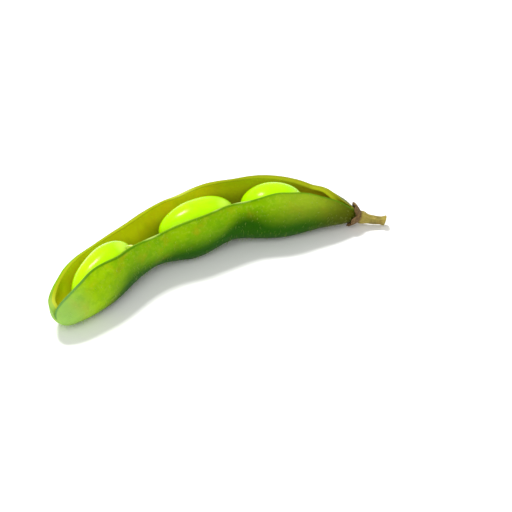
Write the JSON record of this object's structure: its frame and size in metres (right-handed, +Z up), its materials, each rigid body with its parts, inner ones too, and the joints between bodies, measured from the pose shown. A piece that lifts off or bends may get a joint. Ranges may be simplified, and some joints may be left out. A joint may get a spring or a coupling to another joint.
{
  "type": "edamame pod",
  "caption": "Opened edamame pod lying on its keel with its slit up, its beans loose in their swellings and a dried calyx and short stalk at one end.",
  "frame": {"origin": "on the surface that the pod rests on, under the middle of the object's bounding box", "axes": "+X from the pod's blunt flower end to its stalk, +Y towards the side that the pod bends to, +Z up, out of the open slit"},
  "size_m": [0.0674, 0.0198, 0.0108],
  "materials": {
    "pod_skin": "satin green plant skin with fine pale hairs",
    "bean_coat": "glossy moist lime-green seed coat",
    "dry_calyx": "dry brown plant fibre"
  },
  "bodies": {
    "root": {"pod": "pod_skin", "bean_1": "bean_coat", "bean_2": "bean_coat", "bean_3": "bean_coat", "stalk": "dry_calyx"}
  },
  "joints": []
}
